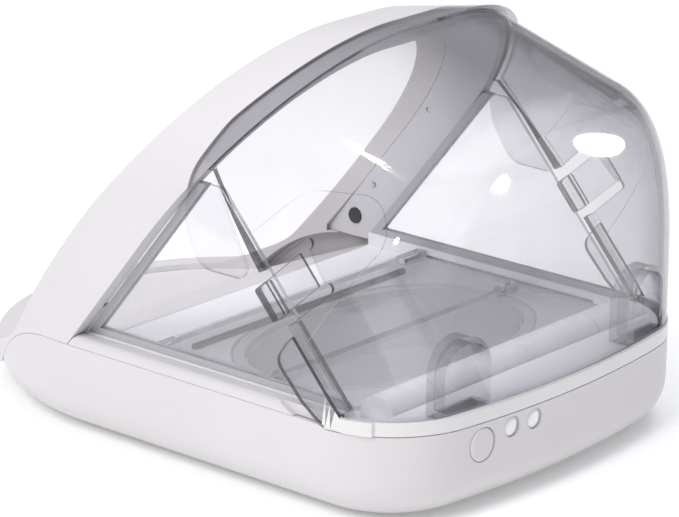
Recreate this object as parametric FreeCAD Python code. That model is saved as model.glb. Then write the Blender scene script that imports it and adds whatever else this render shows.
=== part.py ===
"""Automatic pet feeder: white base and hoop, clear folding lid, smoky clear rear hood.

Frame: +Z up, origin on the table under the middle of the feeder, -Y the side the pet comes to.
All sizes are in millimetres.
"""
import FreeCAD, Part
import math
import os
from FreeCAD import Vector

os.makedirs("parts", exist_ok=True)

# ---- overall size ----
HALF_W = 115.0
HALF_L = 163.5
HEIGHT = 207.5
WALL = 2.5
FOOT_LIFT = 1.5            # underside of the base above the table

# ---- plan outline of the base ----
NOSE_Y = HALF_W - HALF_L   # centre of the half-round nose
CORNER_R = 50.0
BOW_R = 480.0              # gentle bow of the rear face
EDGE_R = 22.0              # rounding along the underside

# ---- heights ----
SEAM_Z = 46.0              # joint between base and hoop
DECK_Z = 45.0              # deck floor
SHELF_Z = 50.0             # rear shelf of the deck
RAIL_Z = 51.5              # top of the side rails
BAND_Z = 44.5              # lower edge of the hood's band
SILL_Z = 24.0              # top of the entry sill

# ---- leaning plane where hoop and hood meet, and the hood's side seam ----
PLANE_Y = -44.0            # plane's Y at rail height
PLANE_SLOPE = 1.245        # rise over run
APEX_Y = PLANE_Y + (HEIGHT - RAIL_Z) / PLANE_SLOPE
HOOP_DEPTH = (39.5, 45.0)  # hoop's width along Y, at the foot of its lip and at the crown
LIP_FOOT_Z = 38.0          # height where the lip runs out into the sill
SEAM_FOOT_Y = 119.6        # foot of the side seam at rail height
CORNER_Z = 148.3           # height where the side seam meets the leaning plane
CORNER_Y = PLANE_Y + (CORNER_Z - RAIL_Z) / PLANE_SLOPE
HOOP_FALL = 0.185          # crest of the hoop falls towards the front
HOOD_FALL = 0.30           # crest of the hood falls towards the rear
HOOD_CORNER_R = 45.0       # rear corners at the foot
HOOD_CROWN_R = 20.0        # rear edge under the crown
HOOD_GAP = 0.4             # between the hoop's rear face and the hood's skin

# ---- arch section in the leaning plane: half width, shoulder radius, crown height ----
ARCH = (HALF_W, 100.0, HEIGHT)
ARCH_IN = (105.0, 80.0, 194.3)
STRIP = 2.0                # thickness of the hood's outer strip and ears

# ---- lid ----
PIVOT_Z = 47.0
BARREL_Y = 124.0
BARREL_R = 10.0
PANEL_L = 66.5             # pivot to pivot, both panels
LID_HALF_W = 93.0
LID_T = 2.6
MID_Y = BARREL_Y - PANEL_L
FRONT_Y = MID_Y - PANEL_L
TRACK_END_Y = 100.0
PIN_R = 1.0
KNUCKLE_R = 1.8
SHAFT_R = 3.5

# ---- bowl ----
BOWL_Y = 52.0
BOWL_A = 81.0
BOWL_B = 52.0
BOWL_POWER = 2.3           # superellipse power of its outline
BOWL_T = 2.2
BOWL_SINK = 12.0           # how much smaller the bowl's foot is than its mouth
BOWL_H = 27.5
WELL_FLOOR = 15.0
BOWL_Z = WELL_FLOOR + 1.8  # underside of the bowl, on its mat
BOWL_LIP = 4.0             # width of the rim
RIM_Z = (DECK_Z - 1.4, DECK_Z - 0.3)    # underside and top of the rim

# ---- deck and its posts ----
DECK_INSET = 4.8           # deck's edge inside the base outline
RAIL_X = (100.0, 107.0)
TRACK_X = (99.0, 103.8)
LEDGE_Z = FOOT_LIFT + 2 * WALL
POST_R = 3.6
POST_BORE_R = 1.45
DECK_POSTS = [(-84.0, 12.0), (84.0, 12.0), (-84.0, 92.0), (84.0, 92.0)]
TRAY_POSTS = [(-40.0, -114.7), (40.0, -114.7)]
BASE_SCREWS = DECK_POSTS + TRAY_POSTS

# ---- underside: plate, feet, battery doors, cells of size C ----
PLATE_X = 88.0
PLATE_Y = (-120.0, 138.0)
FEET = [(-66, -84), (66, -84), (-66, 118), (66, 118)]
FOOT_R = 7.0
DOOR_X = (29.0, 84.0)
DOOR_Y = (-60.5, -2.5)
DOOR_T = 2.0
CELL_R = 13.1
CELL_L = 50.0
CELL_X = (30.0 + CELL_R, 30.0 + 3 * CELL_R + 0.6)
CELL_Y = (-56.5, -56.5 + CELL_L)
CELL_Z = 17.0

# ---- rear face: circuit board, button, indicator lenses ----
BOARD_X = (10.0, 74.0)
BOARD_Y = 145.0
BOARD_T = 1.6
BOARD_Z = (8.0, 40.0)
BOARD_GUIDES = [(12.0, 4.0), (64.0, 5.4)]    # X of each guide and where it starts in Z
BUTTON_X = 60.7
BUTTON_Z = 34.0
BUTTON_R = 8.2
BUTTON_BACK_Y = 153.4
LENS_X = (27.0, 42.0)
LENS_Z = 38.0
LENS_R = 5.0
LENS_RISE = 1.9

# ---- hoop's liner, reader coil, side windows ----
LINER_OUT = (107.5, 82.5, 196.8)
LINER_DEPTH = 28.0
LINER_DOTS = [(s * 90.0, y, z) for s in (1, -1) for y, z in ((-9, 123), (-45, 76))]
LINER_WINDOWS = [(s * 90.0, -57.0, 57.0) for s in (1, -1)]
COIL_OUT = (110.5, 95.5, 203.0)
COIL_IN = (108.3, 84.0, 198.0)
COIL_FOOT_Z = 61.0
COIL_SPAN = (8.0, 32.0)    # distance of the coil's edges ahead of the leaning plane
WINDOW_X = (102.4, 104.4)
WINDOW_TOP_Z = CORNER_Z - 9
FRAME_W = 5.5

# ---- hood: ears, strip, thumb scoops, thin pad, release tongue ----
SEAM_L = math.hypot(CORNER_Y - SEAM_FOOT_Y, CORNER_Z - RAIL_Z)
RIB_X = 105.6              # inner face of the flange along the side seam
LAP = 14.0                 # how far the hood's strip laps over the hoop
EAR_FRONT_Y = 25.5
SCOOP_X = 68.0
SCOOP_HALF = 14.0
SCOOP_Y = 148.0
SCOOP_Z = (RAIL_Z + 1.4, 83.0)
PAD = [(57, 118), (86, 147), (122, 149), (134, 133), (94.5, 74)]
PAD_R = [3, 26, 16, 12, 3]
PAD_DEPTH = 0.9
TONGUE_MID = 61.0          # along the seam
TONGUE_HALF = 8.7
TONGUE_L = 28.0
SLOT_R = 2.6
GRIP_X = (108.8, 113.2)

# ---- gear train: module, teeth, shaft centres in Y and Z ----
MODULE = 0.6
SHAFT_TEETH = 24
IDLER_TEETH = 40
SMALL_TEETH = 12
LARGE_TEETH = 36
PINION_TEETH = 10
IDLER_Y = 133.0
LARGE_Y = 124.0
GEAR_X = (-72.0, -66.0)
LARGE_X = (-64.0, -60.0)
AXLE_R = 1.5
BUSH_R = 5.5
MOTOR_R = 10.0
MOTOR_FLAT = 7.7           # half height across the motor's flats
MOTOR_SHAFT_R = 1.0
MOTOR_X = (-56.3, -26.0)
CHEEK_X = ((-76.5, -74.5), (-58.5, -56.5))
CHEEK = [(111, 4.2), (118, 4.2), (121, 7.2), (136, 7.2), (146, 15), (146, 30), (140, 34.2), (129, 34.2),
         (115, 24)]
CHEEK_ROUND = [1, 0, 0, 2, 3, 3, 3, 3, 3]
GEARBOX_SCREW_Y = 114.6
GEARBOX_SCREW_X = (-70.0, -63.0)

# ---- room to cut in, well outside the part ----
FAR = 130.0


# ------------------------------------------------------------------ helpers

def block(x0, x1, y0, y1, z0, z1):
    return Part.makeBox(x1 - x0, y1 - y0, z1 - z0, Vector(x0, y0, z0))


def rod(radius, start, end):
    """Cylinder from one point to another."""
    a = Vector(*start)
    b = Vector(*end)
    return Part.makeCylinder(radius, (b - a).Length, a, b - a)


def tube(outer, inner, start, end):
    return rod(outer, start, end).cut(rod(inner, start, end))


def both(shape):
    """The shape and its mirror image across X = 0, as one group."""
    return Part.makeCompound([shape, mirrored(shape)])


def mirrored(shape):
    return shape.mirror(Vector(0, 0, 0), Vector(1, 0, 0))


def join(shapes):
    whole = shapes[0].fuse(shapes[1:])
    return whole.removeSplitter()


def outline(points, radii, place):
    """Closed wire through 2-D points, each corner rounded by its own radius."""
    count = len(points)
    pts = [Vector(p[0], p[1], 0) for p in points]
    ends = []
    for i in range(count):
        here = pts[i]
        back = (pts[i - 1] - here).normalize()
        ahead = (pts[(i + 1) % count] - here).normalize()
        if radii[i] == 0:
            ends.append((here, None, here))
            continue
        half = back.getAngle(ahead) / 2
        reach = radii[i] / math.tan(half)
        middle = (back + ahead).normalize() * (radii[i] / math.sin(half) - radii[i])
        ends.append((here + back * reach, here + middle, here + ahead * reach))
    edges = []
    for i in range(count):
        first, mid, last = ends[i]
        if mid is not None:
            arc = Part.Arc(place(first.x, first.y), place(mid.x, mid.y), place(last.x, last.y))
            edges.append(arc.toShape())
        following = ends[(i + 1) % count][0]
        if (following - last).Length > 1e-6:
            line = Part.LineSegment(place(last.x, last.y), place(following.x, following.y))
            edges.append(line.toShape())
    return Part.Wire(edges)


def slab(points, radii, place, along):
    if radii == 0:
        radii = [0] * len(points)
    return Part.Face(outline(points, radii, place)).extrude(along)


def side_slab(points, radii, x0, x1):
    """Outline in Y and Z, extruded along X."""
    return slab(points, radii, lambda y, z: Vector(x0, y, z), Vector(x1 - x0, 0, 0))


def plan_slab(points, radii, z0, z1):
    """Outline in X and Y, extruded along Z."""
    return slab(points, radii, lambda x, y: Vector(x, y, z0), Vector(0, 0, z1 - z0))


def front_slab(points, radii, y0, y1):
    """Outline in X and Z, extruded along Y."""
    return slab(points, radii, lambda x, z: Vector(x, y0, z), Vector(0, y1 - y0, 0))


def plane_y(z):
    """Y of the leaning plane at a height."""
    return PLANE_Y + (z - RAIL_Z) / PLANE_SLOPE


def seam_y(z):
    """Y of the hood's side seam at a height."""
    return SEAM_FOOT_Y + (z - RAIL_Z) * (CORNER_Y - SEAM_FOOT_Y) / (CORNER_Z - RAIL_Z)


def plan_prism(inset, z0, z1):
    """Base outline, moved inwards by inset: nose, straight sides, bowed rear with round corners."""
    r_nose = HALF_W - inset
    r_corner = CORNER_R - inset
    r_bow = BOW_R - inset
    bow_y = HALF_L - BOW_R
    corner_x = HALF_W - CORNER_R
    corner_y = bow_y + math.sqrt((BOW_R - CORNER_R) ** 2 - corner_x ** 2)
    turn = math.atan2(corner_y - bow_y, corner_x)
    end = Vector(r_bow * math.cos(turn), bow_y + r_bow * math.sin(turn), z0)
    mid = Vector(corner_x + r_corner * math.cos(turn / 2), corner_y + r_corner * math.sin(turn / 2), z0)
    right = Vector(r_nose, corner_y, z0)
    nose_r = Vector(r_nose, NOSE_Y, z0)

    def flip(p):
        return Vector(-p.x, p.y, p.z)

    edges = [
        Part.Arc(flip(nose_r), Vector(0, NOSE_Y - r_nose, z0), nose_r).toShape(),
        Part.LineSegment(nose_r, right).toShape(),
        Part.Arc(right, mid, end).toShape(),
        Part.Arc(end, Vector(0, HALF_L - inset, z0), flip(end)).toShape(),
        Part.Arc(flip(end), flip(mid), flip(right)).toShape(),
        Part.LineSegment(flip(right), flip(nose_r)).toShape(),
    ]
    return Part.Face(Part.Wire(edges)).extrude(Vector(0, 0, z1 - z0))


def base_solid(inset, z0, z1, edge_r):
    """Plan prism with its lower edge rounded all round."""
    solid = plan_prism(inset, z0, z1)
    low = [e for e in solid.Edges if max(v.Z for v in e.Vertexes) < z0 + 0.01]
    return solid.makeFillet(edge_r, low)


def lip_y(z):
    """Y of the hoop's front lip at height z."""
    foot, crown = HOOP_DEPTH
    share = (z - LIP_FOOT_Z) / (HEIGHT - LIP_FOOT_Z)
    return plane_y(z) - foot - (crown - foot) * share


def arch_outline(size, low_z):
    """Arch seen from the front: upright sides, round shoulders, level crown."""
    half_w, shoulder, crown = size
    return [(-half_w, low_z), (-half_w, crown), (half_w, crown), (half_w, low_z)], [0, shoulder, shoulder, 0]


def leaning_arch(size, grow):
    """Arch section lying in the leaning plane, with the crown and sides moved inwards by grow."""
    half_w, shoulder, crown = size
    points, radii = arch_outline((half_w - grow, shoulder - grow, crown - grow), 0.0)
    column = front_slab(points, radii, -200, 250)
    low = Vector(-200, plane_y(-20), -20)
    high = Vector(-200, plane_y(260), 260)
    across = Vector(400, 0, 0)
    sheet = Part.Face(Part.makePolygon([low, low + across, high + across, high, low]))
    return sheet.common(column).Faces[0]


def hoop_solid(size, grow, front, rear):
    """Arch carried forwards from the leaning plane. front and rear are distances ahead of it."""
    section = leaning_arch(size, grow)
    section.translate(Vector(0, -rear, -HOOP_FALL * rear))
    depth = front - rear
    return section.extrude(Vector(0, -depth, -HOOP_FALL * depth))


def hood_solid(grow, z0):
    """Closed body of the hood: arch carried rearwards, bowed rear face, sharper towards the crown."""
    section = leaning_arch(ARCH, grow)
    run = 330.0
    body = section.extrude(Vector(0, run, -HOOD_FALL * run))
    bow = Part.makeCylinder(BOW_R - grow, 400, Vector(0, HALF_L - BOW_R, -150))
    body = body.common(bow)
    body = body.common(block(-150, 150, -150, 200, z0 - 30, 260))
    rounds = []
    for number, edge in enumerate(body.Edges, 1):
        mid = edge.valueAt((edge.FirstParameter + edge.LastParameter) / 2)
        on_bow = abs(math.hypot(mid.x, mid.y - HALF_L + BOW_R) - BOW_R + grow) < 0.05
        if on_bow and mid.z > z0 - 29:
            ends = [HOOD_CORNER_R if abs(v.X) > HALF_W - grow - 1 else HOOD_CROWN_R for v in edge.Vertexes]
            rounds.append((number, ends[0] - grow, ends[1] - grow))
    body = rounded(body, rounds)
    return body.cut(block(-150, 150, -150, 200, z0 - 40, z0))


def rounded(body, rounds):
    """Body with its edges rounded, given as (edge number, radius at its start, radius at its end)."""
    sheet = FreeCAD.newDocument()
    base = sheet.addObject("Part::Feature", "base")
    base.Shape = body
    fillet = sheet.addObject("Part::Fillet", "fillet")
    fillet.Base = base
    fillet.Edges = rounds
    sheet.recompute()
    result = fillet.Shape.copy()
    FreeCAD.closeDocument(sheet.Name)
    return result


def oval(a, b, y, z, count=24):
    """Closed smooth superellipse wire, longer along X."""
    points = []
    for i in range(count):
        t = 2 * math.pi * i / count
        c = math.cos(t)
        s = math.sin(t)
        x = a * math.copysign(abs(c) ** (2 / BOWL_POWER), c)
        points.append(Vector(x, y + b * math.copysign(abs(s) ** (2 / BOWL_POWER), s), z))
    curve = Part.BSplineCurve()
    curve.interpolate(Points=points, PeriodicFlag=True)
    return Part.Wire(curve.toShape())


def oval_loft(rows):
    """Solid through superellipses given as (half width, half length, height)."""
    return Part.makeLoft([oval(a, b, BOWL_Y, z) for a, b, z in rows], True)


# ------------------------------------------------------------------ base

def seam_dip():
    """Region above the joint between base and hoop, where it dips round the nose."""
    def at(y, z):
        return Vector(-130, y, z)
    edges = [
        Part.Arc(at(-62, SEAM_Z), at(-92.2, 37.0), at(-109, 20.5)).toShape(),
        Part.Arc(at(-109, 20.5), at(-115.2, 15.3), at(-125, 13.5)).toShape(),
        Part.LineSegment(at(-125, 13.5), at(-170, 13.5)).toShape(),
        Part.LineSegment(at(-170, 13.5), at(-170, 80)).toShape(),
        Part.LineSegment(at(-170, 80), at(-62, 80)).toShape(),
        Part.LineSegment(at(-62, 80), at(-62, SEAM_Z)).toShape(),
    ]
    return Part.Face(Part.Wire(edges)).extrude(Vector(260, 0, 0))


def band_step(grow):
    """Side outline of the step in the rear rim that takes the hood's band."""
    points = [(98 - grow, SEAM_Z + 20), (98 - grow, SEAM_Z + 4), (113 - grow, BAND_Z - grow),
              (180, BAND_Z - grow), (180, SEAM_Z + 20)]
    return side_slab(points, [0, 6, 12, 0, 0], -FAR, FAR)


def rear_y(x, inset=0.0):
    """Y of the bowed rear face at a distance from the middle."""
    return HALF_L - BOW_R + math.sqrt((BOW_R - inset) ** 2 - x ** 2)


def base_tub():
    shell = base_solid(0, FOOT_LIFT, SEAM_Z, EDGE_R)
    shell = shell.cut(base_solid(WALL, FOOT_LIFT + WALL, SEAM_Z + 10, EDGE_R - WALL))
    shell = shell.cut(seam_dip())
    shell = shell.cut(band_step(0.2))
    ledge = plate_outline(-3.0, FOOT_LIFT + WALL, LEDGE_Z).cut(plate_outline(8.0, 0, 20))
    doors = door_outline(-1.2, 0, 20)
    ledge = ledge.cut(doors).cut(mirrored(doors))
    shell = shell.cut(plate_outline(-0.2, 0, FOOT_LIFT + WALL))
    board = board_solid()
    guides = []
    for x, z in BOARD_GUIDES:
        guides.append(block(x, x + 4, BOARD_Y - 1.6, BOARD_Y + 3.2, z, 14).cut(board))
    shell = shell.fuse([ledge] + guides)
    shell = shell.cut(rod(BUTTON_R, (BUTTON_X, 140, BUTTON_Z), (BUTTON_X, 170, BUTTON_Z)))
    for x in LENS_X:
        shell = shell.cut(rod(LENS_R, (x, rear_y(x) - 1.3, LENS_Z), (x, 170, LENS_Z)))
        shell = shell.cut(rod(LENS_R - 1.2, (x, 140, LENS_Z), (x, 170, LENS_Z)))
    for x, y in BASE_SCREWS:
        shell = shell.cut(rod(1.5, (x, y, 0), (x, y, 12)))
    return shell.removeSplitter()


def plate_outline(inset, z0, z1):
    x = PLATE_X - inset
    y0 = PLATE_Y[0] + inset
    y1 = PLATE_Y[1] - inset
    corner = [60 - inset, 60 - inset, 30 - inset, 30 - inset]
    return plan_slab([(-x, y0), (x, y0), (x, y1), (-x, y1)], corner, z0, z1)


def door_outline(inset, z0, z1):
    x0 = DOOR_X[0] + inset
    x1 = DOOR_X[1] - inset
    y0 = DOOR_Y[0] + inset
    y1 = DOOR_Y[1] - inset
    return plan_slab([(x0, y0), (x1, y0), (x1, y1), (x0, y1)], [4, 4, 0, 0], z0, z1)


def base_plate():
    plate = plate_outline(0, FOOT_LIFT, FOOT_LIFT + WALL - 0.1)
    for hole in (door_outline(0, 0, 10), mirrored(door_outline(0, 0, 10))):
        plate = plate.cut(hole)
    for x, y in BASE_SCREWS:
        plate = plate.cut(rod(1.7, (x, y, 0), (x, y, 10)))
        plate = plate.cut(rod(3.4, (x, y, 0), (x, y, FOOT_LIFT + 1.3)))
    for x, y in FEET:
        plate = plate.cut(rod(FOOT_R + 0.2, (x, y, 0), (x, y, FOOT_LIFT + 1.0)))
    return plate


def rubber_feet():
    feet = []
    for x, y in FEET:
        foot = rod(FOOT_R, (x, y, 0), (x, y, FOOT_LIFT + 0.95))
        low = [e for e in foot.Edges if e.Vertexes[0].Z < 0.01 and e.Closed]
        feet.append(foot.makeChamfer(0.5, low))
    return Part.makeCompound(feet)


def base_screws():
    screws = []
    for x, y in BASE_SCREWS:
        head = rod(3.2, (x, y, FOOT_LIFT - 0.6), (x, y, FOOT_LIFT + 1.2))
        head = head.cut(block(x - 2.2, x + 2.2, y - 0.4, y + 0.4, FOOT_LIFT - 1, FOOT_LIFT + 0.2))
        head = head.cut(block(x - 0.4, x + 0.4, y - 2.2, y + 2.2, FOOT_LIFT - 1, FOOT_LIFT + 0.2))
        screws.append(head.fuse(rod(1.4, (x, y, FOOT_LIFT + 1.0), (x, y, 11))))
    return Part.makeCompound(screws)


# ------------------------------------------------------------------ deck

def post(x, y, top):
    """Hollow post that takes one of the base screws."""
    return tube(POST_R, POST_BORE_R, (x, y, LEDGE_Z + 0.1), (x, y, top))


def well_rows(grow):
    """Rows of the well and the bowl, moved outwards by grow."""
    rows = []
    for inward, z in ((BOWL_SINK, 0.0), (BOWL_SINK * 0.42, BOWL_H * 0.44), (0.0, BOWL_H)):
        rows.append((BOWL_A - inward + grow, BOWL_B - inward + grow, z))
    return rows


def lofted(rows, low_z):
    return oval_loft([(a, b, low_z + z) for a, b, z in rows])


def deck():
    shelf_y = BARREL_Y + BARREL_R + 0.2
    plate = plan_prism(DECK_INSET, DECK_Z - WALL, DECK_Z)
    plate = plate.cut(block(-150, 150, -200, PLANE_Y, 0, 100))
    plate = plate.cut(block(-150, 150, shelf_y + WALL, 200, 0, 100))
    shelf = plan_prism(DECK_INSET, SHELF_Z - WALL, SHELF_Z).cut(block(-150, 150, -200, shelf_y, 0, 100))
    step = plan_prism(DECK_INSET, DECK_Z - WALL, SHELF_Z)
    step = step.common(block(-150, 150, shelf_y, shelf_y + WALL, 0, 100))
    rim = plan_prism(DECK_INSET, BAND_Z - 0.5, SHELF_Z).cut(plan_prism(DECK_INSET + WALL, 0, 100))
    rim = rim.common(block(-150, 150, 117.8, 200, 0, 100))
    rails = []
    for side in (1, -1):
        x0, x1 = sorted((side * RAIL_X[0], side * RAIL_X[1]))
        rails.append(block(x0, x1, PLANE_Y, 117.5, DECK_Z - WALL, RAIL_Z))
    trough = rod(BARREL_R + 2.6, (-62, BARREL_Y, PIVOT_Z), (84, BARREL_Y, PIVOT_Z))
    trough = trough.common(block(-150, 150, 0, 200, 0, DECK_Z))
    posts = [post(x, y, DECK_Z - 1) for x, y in DECK_POSTS]
    solid = join([plate, shelf, step, rim, trough] + rails + posts)
    solid = solid.cut(upright_oval(1.0, DECK_Z - WALL - 1.0, DECK_Z + 1.0))
    solid = solid.cut(upright_oval(BOWL_LIP + 0.6, RIM_Z[0] - 0.2, DECK_Z + 1.0))
    solid = solid.cut(rod(BARREL_R + 0.3, (-60.2, BARREL_Y, PIVOT_Z), (60.2, BARREL_Y, PIVOT_Z)))
    solid = solid.cut(rod(BARREL_R, (-92.5, BARREL_Y, PIVOT_Z), (92.5, BARREL_Y, PIVOT_Z)))
    for side in (1, -1):
        x0, x1 = sorted((side * TRACK_X[0], side * TRACK_X[1]))
        half = PIN_R + 0.15
        solid = solid.cut(block(x0, x1, FRONT_Y - 2.0, TRACK_END_Y, PIVOT_Z - half, PIVOT_Z + half))
    solid = solid.cut(block(GEAR_X[0] - 2.5, GEAR_X[1] + 1.6, BARREL_Y - 8.6, 148, 30, DECK_Z + 0.1))
    return solid.removeSplitter()


def upright_oval(grow, z0, z1):
    """Straight-sided solid on the bowl's mouth outline, moved outwards by grow."""
    return oval_loft([(BOWL_A + grow, BOWL_B + grow, z0), (BOWL_A + grow, BOWL_B + grow, z1)])


def bowl_well():
    """Cup under the deck that the bowl sits in."""
    outer = lofted(well_rows(3.0), WELL_FLOOR - 2.0).cut(block(-150, 150, -100, 200, DECK_Z - WALL, 100))
    collar = upright_oval(3.0, DECK_Z - 2 * WALL, DECK_Z - WALL)
    room = lofted(well_rows(1.0), WELL_FLOOR).fuse(upright_oval(1.0, DECK_Z - 2 * WALL, DECK_Z))
    posts = [rod(POST_R + 0.3, (x, y, 0), (x, y, 60)) for x, y in DECK_POSTS]
    return outer.fuse(collar).cut(room).cut(posts).removeSplitter()


def side_trim():
    """White strip between the base and the right-hand rail."""
    span = [(plane_y(SEAM_Z) + 0.4, SEAM_Z), (117.5, SEAM_Z), (117.5, RAIL_Z), (PLANE_Y + 0.4, RAIL_Z)]
    strip = plan_prism(0, SEAM_Z + 0.15, RAIL_Z - 0.2).common(side_slab(span, 0, 107.7, 130))
    top = [e for e in strip.Edges
           if min(v.Z for v in e.Vertexes) > RAIL_Z - 0.3 and min(v.X for v in e.Vertexes) > 114.9
           and e.Length > 100]
    strip = strip.makeFillet(3.0, top)
    ear_room = side_slab([(84, 60), (84, 51.5), (98, SEAM_Z - 2), (130, SEAM_Z - 2), (130, 60)], 0, 100, 130)
    return strip.cut(ear_room.cut(plan_prism(STRIP + 0.6, 0, 100)))


def chin_tray():
    """Floor that falls from the deck to the entry sill, inside the nose."""
    floor = [(PLANE_Y - 0.3, DECK_Z), (-106, SILL_Z - 3), (-170, SILL_Z - 3),
             (-170, SILL_Z - 3 - WALL), (-106.5, SILL_Z - 3 - WALL), (PLANE_Y - 0.3, DECK_Z - WALL - 0.2)]
    tray = side_slab(floor, [0, 40, 0, 0, 37, 0], -FAR, FAR)
    tray = tray.common(plan_prism(10.3, 0, 100))
    posts = [post(x, y, SILL_Z - 4) for x, y in TRAY_POSTS]
    return join([tray] + posts)


# ------------------------------------------------------------------ hoop

def hoop_side():
    """Side outline of the hoop, from the rear plane to the lip, down to the sill and the seam."""
    top = HEIGHT + 40
    points = [(plane_y(SEAM_Z), SEAM_Z), (plane_y(top), top),
              (lip_y(top), top), (lip_y(LIP_FOOT_Z), LIP_FOOT_Z),
              (-122, SILL_Z), (-170, SILL_Z), (-170, 0), (-60, 0)]
    return side_slab(points, [0, 0, 0, 30, 18, 0, 0, 0], -FAR, FAR)


def hoop_shell():
    tall = hoop_solid(ARCH, 0, 260, 0)
    body = tall.common(plan_prism(0, 0, 260)).common(hoop_side())
    body = body.cut(hoop_solid(ARCH_IN, 0, 260, -20).common(plan_prism(10.0, 0, 260)))
    body = body.cut(base_solid(-5, -20, SEAM_Z + 0.15, 1.0).cut(seam_dip_lifted()))
    hollow = hoop_solid(ARCH, WALL, 200, WALL).cut(hoop_solid(LINER_OUT, 0, 220, -20))
    hollow = hollow.common(plan_prism(WALL, 0, 260)).cut(plan_prism(7.5, 0, 100).common(nose_zone()))
    hollow = hollow.common(shifted_lip(WALL))
    body = body.cut(hollow.common(block(-FAR, FAR, -200, 200, SEAM_Z + WALL, 250)))
    pocket = hoop_solid(LINER_OUT, -0.15, 220, -20).cut(hoop_solid(ARCH_IN, 3.0, 220, -20))
    pocket = pocket.common(liner_side(0.2))
    body = body.cut(pocket)
    step = hoop_solid(ARCH, -5, 60, -20).cut(hoop_solid(ARCH, STRIP + 0.3, 90, -40))
    body = body.cut(step.common(strip_zone(0.4)))
    return body.removeSplitter()


def seam_dip_lifted():
    lifted = seam_dip()
    lifted.translate(Vector(0, 0, 0.15))
    return lifted


def nose_zone():
    return block(-FAR, FAR, -200, -60, 0, 60)


def shifted_lip(amount):
    """Everything at least amount behind the hoop's front lip plane."""
    reach = amount * 1.3
    low = 10
    top = 260
    points = [(lip_y(low) + reach, low), (300, low), (300, top), (lip_y(top) + reach, top)]
    return side_slab(points, 0, -FAR, FAR)


def liner_side(grow):
    """Side outline of the grey inner cover of the hoop."""
    low = DECK_Z + 1.0 - grow
    top = HEIGHT + 20
    lip = LINER_DEPTH + grow
    points = [(plane_y(low) - 0.3 + grow, low), (plane_y(top) - 0.3 + grow * 5, top),
              (plane_y(top) - lip, top), (plane_y(low) - lip, low)]
    return side_slab(points, 0, -FAR, FAR)


def hoop_liner():
    ring = hoop_solid(LINER_OUT, 0, 220, -20).cut(hoop_solid(ARCH_IN, 0, 220, -20))
    ring = ring.common(liner_side(0))
    for x, y, z in LINER_DOTS:
        ring = ring.cut(rod(1.4, (x, y, z), (x + math.copysign(20, x), y, z)))
    for x, y, z in LINER_WINDOWS:
        ring = ring.cut(rod(4.2, (x, y, z), (x + math.copysign(20, x), y, z)))
    return ring


def liner_screws():
    """Screws of the liner."""
    screws = []
    for x, y, z in LINER_DOTS:
        side = math.copysign(1, x)
        screws.append(rod(1.3, (side * 104.4, y, z), (side * 106.6, y, z)))
    return Part.makeCompound(screws)


def sensor_windows():
    windows = []
    for x, y, z in LINER_WINDOWS:
        side = math.copysign(1, x)
        windows.append(rod(4.0, (side * 104.2, y, z), (side * 107.3, y, z)))
    return Part.makeCompound(windows)


def reader_coil():
    """Aerial of the tag reader, wound round the hoop between shell and liner."""
    outer = hoop_solid(COIL_OUT, 0, COIL_SPAN[1], COIL_SPAN[0])
    inner = hoop_solid(COIL_IN, 0, 60, -10)
    return outer.cut(inner).cut(block(-FAR, FAR, -150, 100, -50, COIL_FOOT_Z))


# ------------------------------------------------------------------ windows

def window_outline():
    z0 = RAIL_Z + 3.4
    z1 = WINDOW_TOP_Z
    front = FRAME_W + 0.1
    return [(plane_y(z0) + front, z0), (seam_y(z0) - 0.6, z0),
            (seam_y(z1) - 0.6, z1), (plane_y(z1) + front, z1)]


def side_window():
    return side_slab(window_outline(), [1, 1, 3, 3], *WINDOW_X)


def window_frame():
    """Grey rails that hold the window along the hoop and along the deck."""
    x0 = WINDOW_X[0] - 1.0
    x1 = WINDOW_X[1] + 0.8
    z0 = RAIL_Z + 0.1
    z1 = WINDOW_TOP_Z
    upright = side_slab([(plane_y(z0) + 0.3, z0), (plane_y(z0) + FRAME_W, z0), (plane_y(z1) + FRAME_W, z1),
                         (plane_y(z1) + 0.3, z1)], 0, x0, x1)
    level = side_slab([(plane_y(z0) + 0.3, z0), (seam_y(z0) - 1.2, z0), (seam_y(z0 + 3.2) - 1.2, z0 + 3.2),
                       (plane_y(z0) + 3, z0 + 3.2)], 0, x0, x1)
    return upright.fuse(level).removeSplitter()


# ------------------------------------------------------------------ hood

def hood_side():
    """Side outline of the hood behind the seam and the leaning plane."""
    top = HEIGHT + 30
    points = [(SEAM_FOOT_Y, SEAM_Z + 0.3), (SEAM_FOOT_Y, RAIL_Z + 0.2), (CORNER_Y + HOOD_GAP, CORNER_Z),
              (plane_y(top) + HOOD_GAP, top), (260, top), (260, SEAM_Z + 0.3)]
    return side_slab(points, 0, -FAR, FAR)


def seam_point(up, behind):
    """Point in side view, given its place along the side seam from the foot and behind the seam."""
    run = Vector(CORNER_Y - SEAM_FOOT_Y, CORNER_Z - RAIL_Z, 0).normalize()
    return (SEAM_FOOT_Y + up * run.x + behind * run.y, RAIL_Z + up * run.y - behind * run.x)


def seam_slab(points, radii, x0, x1):
    """Slab whose outline is given along and behind the side seam."""
    return side_slab([seam_point(up, behind) for up, behind in points], radii, x0, x1)


def seam_rib():
    """Flange that thickens the hood's edge along the side seam, both sides."""
    zone = seam_slab([(1, 0), (SEAM_L - 7, 0), (SEAM_L - 7, 2.6), (1, 2.6)], 0, RIB_X, 130)
    rib = hood_solid(STRIP, SEAM_Z).common(zone)
    return rib.fuse(mirrored(rib))


def upper_ear():
    points = [(66.5, 106.5), (CORNER_Y + 2, CORNER_Z), (EAR_FRONT_Y, 151), (EAR_FRONT_Y, 122), (37, 103),
              (60, 103)]
    return side_slab(points, [5, 0, 0, 22, 12, 4], -FAR, FAR)


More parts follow.
